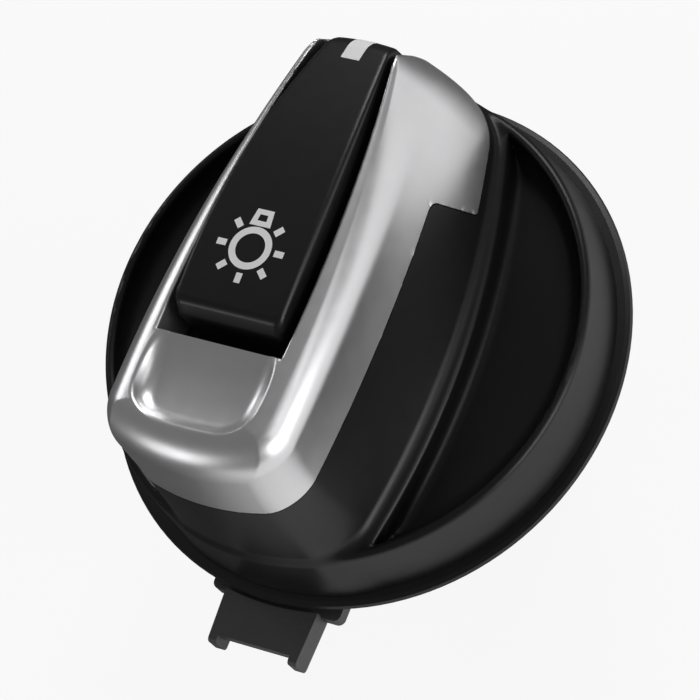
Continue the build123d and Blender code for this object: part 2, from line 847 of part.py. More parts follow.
if __name__ == "__main__":
    os.makedirs("parts", exist_ok=True)
    grip = outer_grip()
    cap = cap_block()
    window = pointer_window(cap)
    save("knob_body", knob_body(grip))
    save("grip_trim", grip_trim(grip))
    save("base_ring", base_ring())
    save("key_cap", key_cap(cap, window))
    save("pointer_window", window)
    save("light_guide", light_guide())
    save("drive_hub", drive_hub())
    save("hub_screws", hub_screws())
    save("hub_clip", hub_clip())
    save("rotor", rotor())
    save("wiper_contacts", wiper_contacts())
    save("detent_track", detent_track())
    for letter, side in (("a", 1), ("b", -1)):
        save("detent_plunger_" + letter, detent_plunger(side))
        save("detent_spring_" + letter, detent_spring(side))
    save("carrier", carrier())
    save("contact_board", contact_board())
    save("contact_tracks", contact_tracks())
    save("terminals", terminals())
    save("lamp_led", lamp_led())
    save("series_resistor", series_resistor())
    save("rear_housing", rear_housing())
    save("housing_screws", housing_screws())
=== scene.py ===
"""Looks of a rotary headlight switch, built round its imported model. Lengths are in metres.

The origin is on the knob's axis in the plane of the seat, +Z points out of the face,
+Y along the pointer and +X to the pointer's right.
"""

import math

import bmesh
import bpy
import numpy as np
from mathutils import Matrix, Vector


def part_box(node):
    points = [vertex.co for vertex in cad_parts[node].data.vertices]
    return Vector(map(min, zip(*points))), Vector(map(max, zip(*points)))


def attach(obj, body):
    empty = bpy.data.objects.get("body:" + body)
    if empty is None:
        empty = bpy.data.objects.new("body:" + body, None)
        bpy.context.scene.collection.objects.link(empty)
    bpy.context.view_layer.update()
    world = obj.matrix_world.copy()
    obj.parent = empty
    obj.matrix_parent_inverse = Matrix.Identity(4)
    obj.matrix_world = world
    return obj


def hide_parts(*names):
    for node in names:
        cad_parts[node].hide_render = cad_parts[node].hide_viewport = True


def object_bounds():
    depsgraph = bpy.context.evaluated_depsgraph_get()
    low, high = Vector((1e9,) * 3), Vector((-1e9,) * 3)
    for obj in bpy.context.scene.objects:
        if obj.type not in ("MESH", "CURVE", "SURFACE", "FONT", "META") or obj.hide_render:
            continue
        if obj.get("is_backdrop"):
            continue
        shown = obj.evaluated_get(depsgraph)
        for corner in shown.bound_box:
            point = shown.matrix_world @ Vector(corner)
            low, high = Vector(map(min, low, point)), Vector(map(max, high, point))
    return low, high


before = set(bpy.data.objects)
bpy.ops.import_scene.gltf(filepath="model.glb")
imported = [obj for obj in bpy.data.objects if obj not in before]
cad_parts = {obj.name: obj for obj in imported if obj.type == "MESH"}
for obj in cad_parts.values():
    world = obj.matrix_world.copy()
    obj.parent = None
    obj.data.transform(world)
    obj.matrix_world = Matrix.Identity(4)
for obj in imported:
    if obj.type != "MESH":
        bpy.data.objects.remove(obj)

bl_info = {
    "name": "Headlight switch",
    "version": (1, 0, 0),
    "blender": (4, 5, 0),
    "location": "View3D > Sidebar > Switch",
    "description": "Builds the visible pieces and the stage of a headlight switch",
    "category": "Object",
}

MM = 0.001
RING_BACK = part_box("base_ring")[0][2]

# The sizes of the moulded forms are in mm, and heights are above the back of the ring.
# Arcs in plan: middle along the pointer, greatest half width and radius
FOOT_PLAN = (-3.5, 10.95, 61.0)
WAIST_PLAN = (-5.0, 8.6, 140.0)
SHOULDER_PLAN = (-10.0, 8.5, 140.0)
LAND_PLAN = (-6.0, 6.25, 130.0)
KEY_PLAN = (-6.0, 5.8, 130.0)
DISH_PLAN = (-6.0, 6.0, 130.0)
POCKET_PLAN = (-3.5, 11.8, 65.0)
CAP_PLAN = (-4.0, 5.0, 120.0)

# Skirt and pockets
SKIRT_RADIUS = 21.85
SKIRT_DRAFT = math.radians(5.2)
SKIRT_FOOT = 0.55
SKIRT_TOP = 6.4
SKIRT_ROUND = 0.5
SKIRT_BORE = 19.95
SKIRT_HOLLOW = 2.4
FOOT_FILLET = 0.9
POCKET_RADIUS = 20.45
POCKET_FLOOR = 4.0
POCKET_COVE = 2.2
POCKET_SIDE_COVE = 1.0
POCKET_CORNER = 0.25
POCKET_RIM = 0.45

# Grip
WAIST_HEIGHT = 14.5
SHOULDER_DROP = 3.2
SHOULDER_FALL = 0.03
SHOULDER_TURN = math.radians(65.0)
SHOULDER_LIMIT = 0.985
LAND_HEIGHT = 23.9
LAND_START = -16.0
LAND_SLOPE = 0.06
LAND_ARC = 900.0
CROWN_ROUND = 0.45
TAIL_ROUND = 2.6
TAIL_FALL = 3.6
POINTER_ROUND = 2.9

# Trim: lower edge, flag at the pointer end, room for the key and finger dish
TRIM_WALL = 1.2
TRIM_EDGE = 15.4
TRIM_EDGE_START = -20.0
TRIM_EDGE_SLOPE = 0.04
FLAG_START = 8.9
FLAG_TOP = 14.24
FLAG_FOOT = 8.0
FLAG_LEAN = 1.9 / 6.24
FLAG_CORNER = 0.35
FLAG_NOTCH = 0.8
FIT_GAP = 0.1
LAND_EDGE = 0.28
KEY_BACK = -9.57
KEY_FOOT = 7.0
DISH_FRONT = -17.55
DISH_BOW = 0.5
DISH_BOW_HALF = 5.5
DISH_CORNER = 2.9
DISH_COVE = 1.8
DISH_OVERRUN = 3.0
DISH_LIP = 23.15
DISH_LOW = (-13.5, 22.55)
DISH_CREST = 23.65

# Core of the body and the hollow under it
CORE_TOP = 18.4
HOLLOW_HALF = 5.0
HOLLOW_BACK = -15.0
HOLLOW_FRONT = 13.4
HOLLOW_CORNER = 1.5
HOLLOW_TOP = 13.0
GUIDE_BORE = (2.05, 12.0, 30.0)
TONGUE_GROOVE = 2.25
POST_PLACES = (-10.2, 10.2)
POST = (2.0, 4.5, 13.5)
POST_HOLE = (0.9, 4.0, 10.5)

# Key cap and its pointer window
CAP_PEAK = -3.0
CAP_HEIGHT = 24.4
CAP_ARC = 61.4
CAP_FRONT = -8.1
CAP_RIDGE = -7.1
CAP_RIDGE_FALL = 1.6
CAP_RIDGE_ROUND = 0.25
CAP_CORNER = 0.7
CAP_EDGE = 0.4
CAP_END_ROUND = 1.3
CAP_RECESS = 0.85
CAP_WALL = 1.3
CAP_CEILING = 17.4
TONGUE_FOOT = 8.1
TONGUE_BACK = 2.15
WINDOW_HALF = 0.845
WINDOW_START = 16.7
WINDOW_FOOT = 16.5
WINDOW_PROUD = 0.02
WINDOW_DEPTH = 0.35
WINDOW_ROOM = 0.01

# Lamp sign, in metres
SIGN_PLACES = 8
RAY_DISTANCE = 2.62 * MM
RAY_LENGTH = 0.85 * MM
RAY_WIDTH = 0.55 * MM
PRINT_THICKNESS = 0.03 * MM
SOCKET_OUTER = ((-0.95, 1.95), (0.95, 1.95), (0.75, 3.4), (-0.75, 3.4))
SOCKET_INNER = ((-0.42, 2.4), (0.42, 2.4), (0.36, 2.95), (-0.36, 2.95))

# Surface search
ROOT_STEPS = 6
SLOPE_STEP = 0.01
EDGE_HOLD = 0.08
SHARP_ANGLE = math.radians(38)

# Finishes
MOTTLE_SCALE = 170.0
WEAR_SCALE = 900.0
WEAR = 0.05
GRAIN_DEPTH = 0.00003

# Stage: lamps by name, direction, distance, size and power; camera angles in degrees
LAMPS = (
    ("key_light", (-0.85, 0.28, 0.44), 0.42, 0.10, 0.14),
    ("side_light", (0.74, 0.26, 0.60), 0.45, 0.11, 0.10),
    ("low_light", (0.98, -0.08, 0.10), 0.45, 0.30, 1.4),
    ("front_light", (-0.46, -0.83, 0.23), 0.45, 0.16, 0.20),
    ("back_light", (-0.05, 0.85, 0.53), 0.45, 0.20, 0.8),
)
LAMP_AIM = Vector((0, 0, 0.012))
FLOOR_GAP = 0.00002
FLOOR_GLOW = 0.9
WORLD_GREY = 0.18
CAMERA_AZIMUTH = 61.1
CAMERA_ELEVATION = 58.07
CAMERA_ROLL = 43.0
CAMERA_SHIFT = (-1.608, -0.108)
CAMERA_DISTANCE = 350.0
CAMERA_LENS = 216.07


def up(height):
    """Level in metres of a height in mm above the back of the ring."""
    return RING_BACK + height * MM


def length(name, text, default):
    """A length setting, in metres."""
    return bpy.props.FloatProperty(name=name, description=text, default=default, unit="LENGTH", precision=5)


def tint(name, text, default):
    """A colour setting."""
    return bpy.props.FloatVectorProperty(
        name=name, description=text, default=default, size=3, min=0, max=1, subtype="COLOR"
    )


class SwitchMarks(bpy.types.PropertyGroup):
    """Sizes of the printed lamp sign on the key cap."""

    middle: length("Middle", "Place of the sign along the pointer", -1.73 * MM)
    ring_radius: length("Ring radius", "Middle of the sign's ring", 1.56 * MM)
    ring_width: length("Ring width", "Width of the ring's line", 0.58 * MM)
    ray_distance: length("Ray distance", "From the sign's middle to a ray's middle", RAY_DISTANCE)
    ray_length: length("Ray length", "Length of one ray", RAY_LENGTH)
    ray_width: length("Ray width", "Width of one ray", RAY_WIDTH)
    thickness: length("Thickness", "Thickness of the print", PRINT_THICKNESS)


class SwitchColours(bpy.types.PropertyGroup):
    """Colours of the switch and of its stage."""

    body: tint("Body", "Moulded black of the knob", (0.006, 0.006, 0.0063))
    cap: tint("Cap", "Smooth black of the key cap", (0.006, 0.006, 0.0063))
    ring: tint("Ring", "Black of the base ring", (0.006, 0.006, 0.0063))
    lug: tint("Lug", "Grained dark plastic of the carrier", (0.05, 0.05, 0.051))
    trim: tint("Trim", "Satin silver of the trim", (0.66, 0.66, 0.67))
    mark: tint("Mark", "White of the signs", (0.93, 0.93, 0.93))
    floor: tint("Floor", "Pale floor", (0.86, 0.86, 0.86))


class Nodes:
    """Short way to fill a node tree."""

    def __init__(self, tree):
        self.tree = tree

    def add(self, kind, **inputs):
        """A new node; a keyword names an input (with _ for a space) or one of the node's own settings."""
        node = self.tree.nodes.new(kind)
        for key, value in inputs.items():
            if hasattr(node, key) and key not in ("inputs", "outputs"):
                setattr(node, key, value)
                continue
            by_number = key[0] == "i" and key[1:].isdigit()
            socket = node.inputs[int(key[1:])] if by_number else node.inputs[key.replace("_", " ")]
            if isinstance(value, bpy.types.NodeSocket):
                self.tree.links.new(value, socket)
            else:
                socket.default_value = value
        return node


def material(name, colour, rough, metallic=0.0, grain=0.0, bump=0.0, shift=0.08, specular=0.5, coat=0.0):
    """Procedural plastic or metal: mottled colour, uneven roughness and a fine surface grain."""
    made = bpy.data.materials.new(name)
    made.use_nodes = True
    tree = made.node_tree
    tree.nodes.clear()
    n = Nodes(tree)
    place = n.add("ShaderNodeTexCoord").outputs["Object"]
    wide = n.add("ShaderNodeTexNoise", Vector=place, Scale=MOTTLE_SCALE, Detail=4.0, Roughness=0.55)
    low = [c * (1 - shift) for c in colour]
    high = [min(1.0, c * (1 + shift)) for c in colour]
    ramp = n.add("ShaderNodeValToRGB", Fac=wide.outputs["Fac"])
    for element, shade, position in zip(ramp.color_ramp.elements, (low, high), (0.3, 0.7)):
        element.color = (*shade, 1)
        element.position = position
    worn = n.add("ShaderNodeTexNoise", Vector=place, Scale=WEAR_SCALE, Detail=3.0)
    change = n.add("ShaderNodeMapRange", Value=worn.outputs["Fac"], From_Min=0.3, From_Max=0.7)
    change.inputs["To Min"].default_value = max(0.02, rough * (1 - WEAR))
    change.inputs["To Max"].default_value = min(1.0, rough * (1 + WEAR))
    skin = n.add("ShaderNodeBsdfPrincipled", Base_Color=ramp.outputs["Color"], Roughness=change.outputs["Result"])
    skin.inputs["Metallic"].default_value = metallic
    skin.inputs["Specular IOR Level"].default_value = specular
    skin.inputs["Coat Weight"].default_value = coat
    if grain:
        pits = n.add("ShaderNodeTexNoise", Vector=place, Scale=grain, Detail=2.0)
        relief = n.add("ShaderNodeBump", Strength=bump, Distance=GRAIN_DEPTH, Height=pits.outputs["Fac"])
        tree.links.new(relief.outputs["Normal"], skin.inputs["Normal"])
    out = n.add("ShaderNodeOutputMaterial")
    tree.links.new(skin.outputs["BSDF"], out.inputs["Surface"])
    return made


def clear_material():
    """Clear light guide with a faint unevenness in it."""
    made = material("clear_guide", (0.92, 0.94, 0.95), 0.08, grain=1500.0, bump=0.1)
    skin = next(node for node in made.node_tree.nodes if node.type == "BSDF_PRINCIPLED")
    skin.inputs["Transmission Weight"].default_value = 0.9
    skin.inputs["IOR"].default_value = 1.49
    return made


def dress(obj, made):
    """Give an object one material."""
    obj.data.materials.clear()
    obj.data.materials.append(made)


def new_object(name, mesh):
    """Object for a mesh, linked to the scene."""
    obj = bpy.data.objects.new(name, mesh)
    bpy.context.scene.collection.objects.link(obj)
    return obj


def both(a, b, radius):
    """Overlap of two forms whose shared edge is rounded."""
    soft = np.hypot(np.maximum(radius + a, 0), np.maximum(radius + b, 0))
    return np.minimum(-radius, np.maximum(a, b)) + soft


def join(a, b, radius):
    """Union of two forms with a hollow fillet between them."""
    return -both(-a, -b, radius)


def less(a, b, radius):
    """The first form with the second cut out of it and the rim rounded."""
    return both(a, -b, radius)


def arc(y, middle, most, bend):
    """Half width of a plan whose side is a shallow arc."""
    return most - (y - middle) ** 2 / (2 * bend)


def wall(x, y, h, inset):
    """Drafted outer wall of the skirt and of the grip's ends."""
    reach = SKIRT_RADIUS - inset - (h - SKIRT_FOOT) * math.tan(SKIRT_DRAFT)
    return (np.hypot(x, y) - reach) * math.cos(SKIRT_DRAFT)


def upright(x, y, h, radius, low, high, at=0.0):
    """Upright cylinder on the pointer's line."""
    return np.maximum(np.maximum(np.hypot(x, y - at) - radius, low - h), h - high)


def land_top(y):
    """Height of the narrow land round the key."""
    run = y - LAND_START
    return LAND_HEIGHT - LAND_SLOPE * run - run**2 / (2 * LAND_ARC)


def shoulder_level(y):
    """Height at which the flank starts to turn into the shoulder."""
    return land_top(y) - SHOULDER_DROP - SHOULDER_FALL * (y - LAND_START)


def flank(y, h):
    """Half width of the grip at a place and a height, up to the shoulder."""
    foot, waist, shoulder = arc(y, *FOOT_PLAN), arc(y, *WAIST_PLAN), arc(y, *SHOULDER_PLAN)
    a, b, c = SKIRT_TOP, WAIST_HEIGHT, shoulder_level(y)
    low = foot * (h - b) * (h - c) / ((a - b) * (a - c))
    mid = waist * (h - a) * (h - c) / ((b - a) * (b - c))
    return low + mid + shoulder * (h - a) * (h - b) / ((c - a) * (c - b))


def grip_width(y, h):
    """Half width of the grip with its rounded shoulder."""
    level, top = shoulder_level(y), land_top(y)
    across = (flank(y, top) - arc(y, *LAND_PLAN)) / (1 - math.cos(SHOULDER_TURN))
    turn = np.clip((h - level) * math.sin(SHOULDER_TURN) / (top - level), 0, SHOULDER_LIMIT)
    return flank(y, h) - across * (1 - np.sqrt(1 - turn**2))


def grip(x, y, h):
    """Outer form of the grip: flanks, shoulders, flat land and rounded ends."""
    step = 0.02
    width = grip_width(y, h)
    rise = (grip_width(y, h + step) - grip_width(y, h - step)) / (2 * step)
    along = (grip_width(y + step, h) - grip_width(y - step, h)) / (2 * step)
    side = (np.abs(x) - width) / np.sqrt(1 + rise**2 + along**2)
    top = h - land_top(y)
    ends = wall(x, y, h, 0)
    crown = both(side, top, CROWN_ROUND)
    whole = both(crown, ends, np.where(y < 0, TAIL_ROUND, POINTER_ROUND))
    return np.maximum(whole, both(top, ends, np.where(y < 0, TAIL_FALL, POINTER_ROUND)))


def trim_zone(y, h, gap):
    """Side view of the trim: the lower edge and the flag at the pointer end."""
    edge = TRIM_EDGE - TRIM_EDGE_SLOPE * (y - TRIM_EDGE_START) - gap - h
    slant = (FLAG_START - gap + (FLAG_TOP - h) * FLAG_LEAN - y) / math.hypot(1, FLAG_LEAN)
    flag = both(slant, FLAG_FOOT - gap - h, FLAG_CORNER)
    return join(edge, flag, FLAG_NOTCH)


def core(x, y, h, inset):
    """Body inside the trim, flat on top."""
    side = np.abs(x) - (flank(y, h) - inset)
    return np.maximum(np.maximum(side, h - CORE_TOP), wall(x, y, h, inset))


def key_room(x, y, h):
    """Room between the limbs of the trim, open at the pointer end."""
    return np.maximum(np.maximum(np.abs(x) - arc(y, *KEY_PLAN), KEY_BACK - y), KEY_FOOT - h)


def dish(x, y, h):
    """Finger dish at the tail: a bowl with a cove along its walls."""
    side = np.abs(x) - arc(y, *DISH_PLAN)
    front = DISH_FRONT + DISH_BOW * (x / DISH_BOW_HALF) ** 2 - y
    well = np.maximum(both(side, front, DISH_CORNER), y - (KEY_BACK + DISH_OVERRUN))
    (ya, ha), (yb, hb), (yc, hc) = (KEY_BACK, DISH_LIP), DISH_LOW, (DISH_FRONT, DISH_CREST)
    turn = np.array([[2 * (yb - ya), 2 * (hb - ha)], [2 * (yc - ya), 2 * (hc - ha)]])
    known = np.array([yb**2 - ya**2 + hb**2 - ha**2, yc**2 - ya**2 + hc**2 - ha**2])
    cy, ch = np.linalg.solve(turn, known)
    bowl = np.hypot(y - cy, h - ch) - math.hypot(ya - cy, ha - ch)
    return both(well, np.where(h > ch, -3.0, bowl), DISH_COVE)


def trim_form(x, y, h):
    """Satin trim: limbs, flags and the dish."""
    solid = np.maximum(grip(x, y, h), trim_zone(y, h, 0))
    solid = np.maximum(solid, -core(x, y, h, TRIM_WALL))
    return less(solid, np.minimum(key_room(x, y, h), dish(x, y, h)), LAND_EDGE)


def pocket(x, y, h):
    """D-shaped finger pocket on each side of the grip."""
    rim = np.hypot(x, y) - POCKET_RADIUS
    bowl = both(rim, POCKET_FLOOR - h, POCKET_COVE)
    side = both(arc(y, *POCKET_PLAN) - np.abs(x), POCKET_FLOOR - h, POCKET_SIDE_COVE)
    return both(bowl, side, POCKET_CORNER)


def hollows(x, y, h):
    """Room for the works: inside the grip, the light guide's bore and under the skirt."""
    ends = np.maximum(HOLLOW_BACK - y, y - HOLLOW_FRONT)
    room = both(np.abs(x) - HOLLOW_HALF, ends, HOLLOW_CORNER)
    room = np.maximum(room, h - HOLLOW_TOP)
    bore = upright(x, y, h, *GUIDE_BORE)
    under = upright(x, y, h, SKIRT_BORE, -5.0, SKIRT_HOLLOW)
    return np.minimum(np.minimum(room, bore), under)


def body_form(x, y, h):
    """Black moulding: skirt, pockets and the core that carries the trim and the cap."""
    puck = both(wall(x, y, h, 0), h - SKIRT_TOP, SKIRT_ROUND)
    puck = np.maximum(puck, SKIRT_FOOT - h)
    solid = join(puck, grip(x, y, h), FOOT_FILLET)
    solid = np.maximum(solid, SKIRT_FOOT - h)
    solid = less(solid, pocket(x, y, h), POCKET_RIM)
    outside = np.maximum(trim_zone(y, h, FIT_GAP), -core(x, y, h, TRIM_WALL + FIT_GAP))
    solid = np.maximum(solid, -outside)
    groove = np.maximum(-wall(x, y, h, TONGUE_GROOVE), np.abs(x) - arc(y, *KEY_PLAN))
    groove = np.maximum(groove, np.maximum(FLAG_FOOT - h, -y))
    solid = np.maximum(solid, -groove)
    solid = np.maximum(solid, -hollows(x, y, h))
    for at in POST_PLACES:
        post = np.maximum(upright(x, y, h, *POST, at), -upright(x, y, h, *POST_HOLE, at))
        solid = np.minimum(solid, post)
    return solid


def cap_level(y):
    """Height of the key cap's top."""
    return CAP_HEIGHT - (y - CAP_PEAK) ** 2 / (2 * CAP_ARC)


def cap_skin(x, y, h):
    """Outer form of the key cap, with no underside."""
    top = (h - cap_level(y)) / np.sqrt(1 + ((y - CAP_PEAK) / CAP_ARC) ** 2)
    lean = math.hypot(1.0, CAP_RIDGE_FALL)
    chamfer = (-(y - CAP_RIDGE) * CAP_RIDGE_FALL + (h - cap_level(CAP_RIDGE))) / lean
    face = both(chamfer, CAP_FRONT - y, CAP_RIDGE_ROUND)
    side = np.abs(x) - arc(y, *CAP_PLAN)
    walls = both(side, face, CAP_CORNER)
    crown = both(top, wall(x, y, h, CAP_RECESS), CAP_END_ROUND)
    return both(walls, crown, CAP_EDGE)


def cap_form(x, y, h):
    """Key cap: a shell over the light guide with a tongue at the pointer end."""
    skin = cap_skin(x, y, h)
    tongue = np.maximum(np.maximum(TONGUE_FOOT - h, -wall(x, y, h, TONGUE_BACK)), HOLLOW_FRONT - y)
    solid = np.maximum(skin, np.minimum(CORE_TOP - h, tongue))
    solid = np.maximum(solid, -np.maximum(skin + CAP_WALL, CAP_CEILING - h))
    return np.maximum(solid, -window_form(x, y, h, WINDOW_ROOM))


def window_form(x, y, h, room=0.0):
    """White bar let into the cap."""
    skin = cap_skin(x, y, h)
    bar = np.maximum(np.abs(x) - WINDOW_HALF - room, WINDOW_START - room - y)
    bar = np.maximum(bar, WINDOW_FOOT - room - h)
    return np.maximum(bar, np.maximum(skin - WINDOW_PROUD - room, -skin - WINDOW_DEPTH - room))


def ticks(start, *stretches):
    """Grid lines over stretches given as end and step, finer where the form needs it."""
    lines = [float(start)]
    for end, step in stretches:
        count = max(1, round((end - lines[-1]) / step))
        lines += list(np.linspace(lines[-1], end, count + 1)[1:])
    return np.array(lines)


def crossings(form, axes):
    """Where a form's surface crosses the grid's edges: cells beside, places, normals and faces."""
    counts = np.array([len(line) for line in axes])
    values = form(axes[0][:, None, None], axes[1][None, :, None], axes[2][None, None, :])
    values = np.broadcast_to(values, counts)
    inside = values < 0
    spread = np.array([(counts[1] - 1) * (counts[2] - 1), counts[2] - 1, 1])
    unit = np.eye(3, dtype=int)
    cells, spots, normals, quads = [], [], [], []
    for a in range(3):
        b, c = (a + 1) % 3, (a + 2) % 3
        near = [slice(None)] * 3
        far = [slice(None)] * 3
        near[a], far[a] = slice(None, -1), slice(1, None)
        index = np.argwhere(inside[tuple(near)] != inside[tuple(far)])
        f0, f1 = values[tuple(index.T)].copy(), values[tuple((index + unit[a]).T)].copy()
        starts = f0 < 0
        start = np.stack([axes[k][index[:, k]] for k in range(3)], axis=1)
        cell = axes[a][index[:, a] + 1] - axes[a][index[:, a]]
        t0, t1 = np.zeros(len(index)), np.ones(len(index))
        for _ in range(ROOT_STEPS):
            t = np.clip((t0 * f1 - t1 * f0) / (f1 - f0), 0, 1)
            t = 0.9 * t + 0.05 * (t0 + t1)
            p = start + (t * cell)[:, None] * unit[a]
            f = form(*p.T)
            same = (f < 0) == starts
            t0, f0 = np.where(same, t, t0), np.where(same, f, f0)
            t1, f1 = np.where(same, t1, t), np.where(same, f1, f)
        t = (t0 + t1) / 2
        p = start + (t * cell)[:, None] * unit[a]
        slope = np.stack([form(*(p + SLOPE_STEP * e).T) - form(*(p - SLOPE_STEP * e).T) for e in unit], axis=1)
        slope /= np.linalg.norm(slope, axis=1)[:, None] + 1e-12
        around = [index - unit[b] - unit[c], index - unit[c], index, index - unit[b]]
        ids = np.stack([spot @ spread for spot in around], axis=1)
        quads.append(np.where(starts[:, None], ids, ids[:, ::-1]))
        cells.append(ids.ravel())
        spots.append(np.repeat(p, 4, axis=0))
        normals.append(np.repeat(slope, 4, axis=0))
    return (np.concatenate(part) for part in (cells, spots, normals, quads))


def contour(name, form, axes):
    """Closed mesh of a form's surface over a grid, with its edges kept, by dual contouring."""
    cells, spots, normals, quads = crossings(form, axes)
    used, where = np.unique(cells, return_inverse=True)
    total = len(used)

    def gather(weight):
        return np.bincount(where, weights=weight, minlength=total)

    each = 1 / gather(np.ones(len(where)))
    middle = np.stack([gather(spots[:, k]) * each for k in range(3)], axis=1)
    reach = np.einsum("ij,ij->i", normals, spots - middle[where])
    matrix = np.zeros((total, 3, 3))
    side = np.zeros((total, 3))
    for k in range(3):
        side[:, k] = gather(normals[:, k] * reach)
        for m in range(3):
            matrix[:, k, m] = gather(normals[:, k] * normals[:, m])
    matrix += EDGE_HOLD * np.eye(3)
    found = middle + np.linalg.solve(matrix, side[:, :, None])[:, :, 0]
    rows, layers = len(axes[1]) - 1, len(axes[2]) - 1
    corner = np.stack([used // (rows * layers), used % (rows * layers) // layers, used % layers], axis=1)
    floor = np.stack([axes[k][corner[:, k]] for k in range(3)], axis=1)
    ceiling = np.stack([axes[k][corner[:, k] + 1] for k in range(3)], axis=1)
    found = np.clip(found, floor, ceiling) * MM
    found[:, 2] += RING_BACK
    faces = np.searchsorted(used, quads)
    mesh = bpy.data.meshes.new(name)
    mesh.vertices.add(total)
    mesh.vertices.foreach_set("co", found.ravel())
    mesh.loops.add(faces.size)
    mesh.loops.foreach_set("vertex_index", faces.ravel())
    mesh.polygons.add(len(faces))
    mesh.polygons.foreach_set("loop_start", np.arange(0, faces.size, 4))
    mesh.update(calc_edges=True)
    mesh.validate()
    mesh.polygons.foreach_set("use_smooth", np.ones(len(mesh.polygons), bool))
    mesh.set_sharp_from_angle(angle=SHARP_ANGLE)
    return new_object(name, mesh)


class SWITCH_OT_mouldings(bpy.types.Operator):
    """Finishes the black mouldings of the knob"""

    bl_idname = "switch.mouldings"
    bl_label = "Black mouldings"

    def execute(self, context):
        colours = context.scene.switch_colours
        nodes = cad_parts
        black = material("black_body", colours.body, 0.36, grain=5000.0, bump=0.10, specular=0.3)
        glossy = material("black_cap", colours.cap, 0.34, grain=5000.0, bump=0.04, specular=0.4)
        white = material("white_window", colours.mark, 0.45, grain=6000.0, bump=0.1, shift=0.03)
        across = ticks(-22.5, (22.5, 0.28))
        upward = ticks(0, (3.5, 0.45), (8.5, 0.2), (20, 0.4))
        body = contour("knob_moulding", body_form, (across, across, upward))
        along = ticks(-9, (-6, 0.15), (16, 0.25), (21.5, 0.15))
        upward = ticks(7, (17, 0.4), (25.5, 0.15))
        cap = contour("key_moulding", cap_form, (ticks(-6, (6, 0.2)), along, upward))
        fine = 0.1
        grid = (ticks(-1.2, (1.2, fine)), ticks(16, (20.5, fine)), ticks(16, (22, fine)))
        bar = contour("pointer_bar", window_form, grid)
        pieces = (
            (body, black, "black_soft", "knob_body"),
            (cap, glossy, "black_satin", "key_cap"),
            (bar, white, "white_mark", "pointer_window"),
        )
        for obj, made, slot, node in pieces:
            dress(obj, made)
            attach(obj, "knob")
            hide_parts(node)
            dress(nodes[node], made)
        ring = material("black_ring", colours.ring, 0.36, grain=5000.0, bump=0.05, specular=0.4)
        dress(nodes["base_ring"], ring)
        dress(nodes["carrier"], material("dark_carrier", colours.lug, 0.5, grain=2200.0, bump=1.0))
        return {"FINISHED"}


class SWITCH_OT_trim(bpy.types.Operator):
    """Finishes the satin trim that frames the key"""

    bl_idname = "switch.trim"
    bl_label = "Satin trim"

    def execute(self, context):
        colours = context.scene.switch_colours
        satin = material("satin_silver", colours.trim, 0.33, metallic=0.9, grain=4000.0, bump=0.03, shift=0.03)
        half = ticks(0, (3.3, 0.3), (6.6, 0.11), (10, 0.22))
        across = np.concatenate((-half[:0:-1], half))
        along = ticks(-22.5, (-19, 0.25), (-15.5, 0.16), (7.5, 0.34), (22, 0.24))
        upward = ticks(7, (19.5, 0.3), (24.6, 0.11))
        trim = contour("satin_trim", trim_form, (across, along, upward))
        dress(trim, satin)
        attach(trim, "knob")
        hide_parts("grip_trim")
        dress(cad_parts["grip_trim"], satin)
        return {"FINISHED"}


def ray_group():
    """Geometry Nodes group that lays bars of one size on a circle, with one left out."""
    tree = bpy.data.node_groups.new("rays", "GeometryNodeTree")
    face = tree.interface
    face.new_socket("Geometry", in_out="INPUT", socket_type="NodeSocketGeometry")
    settings = (
        ("Places", "NodeSocketInt", SIGN_PLACES),
        ("Distance", "NodeSocketFloat", RAY_DISTANCE),
        ("Length", "NodeSocketFloat", RAY_LENGTH),
        ("Width", "NodeSocketFloat", RAY_WIDTH),
        ("Thickness", "NodeSocketFloat", PRINT_THICKNESS),
    )
    for name, kind, value in settings:
        face.new_socket(name, in_out="INPUT", socket_type=kind).default_value = value
    face.new_socket("Material", in_out="INPUT", socket_type="NodeSocketMaterial")
    face.new_socket("Geometry", in_out="OUTPUT", socket_type="NodeSocketGeometry")
    n = Nodes(tree)
    given = n.add("NodeGroupInput").outputs
    count = n.add("ShaderNodeMath", operation="SUBTRACT", i0=given["Places"], i1=1.0).outputs[0]
    turn = n.add("ShaderNodeMath", operation="DIVIDE", i0=math.tau, i1=given["Places"]).outputs[0]
    index = n.add("GeometryNodeInputIndex").outputs[0]
    step = n.add("ShaderNodeMath", operation="ADD", i0=index, i1=1.0).outputs[0]
    angle = n.add("ShaderNodeMath", operation="MULTIPLY", i0=step, i1=turn).outputs[0]
    sine = n.add("ShaderNodeMath", operation="SINE", i0=angle).outputs[0]
    cosine = n.add("ShaderNodeMath", operation="COSINE", i0=angle).outputs[0]
    across = n.add("ShaderNodeMath", operation="MULTIPLY", i0=sine, i1=given["Distance"]).outputs[0]
    away = n.add("ShaderNodeMath", operation="MULTIPLY", i0=across, i1=-1.0).outputs[0]
    along = n.add("ShaderNodeMath", operation="MULTIPLY", i0=cosine, i1=given["Distance"]).outputs[0]
    place = n.add("ShaderNodeCombineXYZ", X=away, Y=along).outputs[0]
    dots = n.add("GeometryNodePoints", Count=count, Position=place).outputs[0]
    size = n.add("ShaderNodeCombineXYZ", X=given["Width"], Y=given["Length"], Z=given["Thickness"]).outputs[0]
    bar = n.add("GeometryNodeMeshCube", Size=size, Vertices_X=3, Vertices_Y=5, Vertices_Z=2).outputs["Mesh"]
    facing = n.add("ShaderNodeCombineXYZ", Z=angle).outputs[0]
    laid = n.add("GeometryNodeInstanceOnPoints", Points=dots, Instance=bar, Rotation=facing).outputs[0]
    real = n.add("GeometryNodeRealizeInstances", Geometry=laid).outputs[0]
    made = n.add("GeometryNodeSetMaterial", Geometry=real, Material=given["Material"]).outputs[0]
    n.add("NodeGroupOutput", Geometry=made)
    return tree


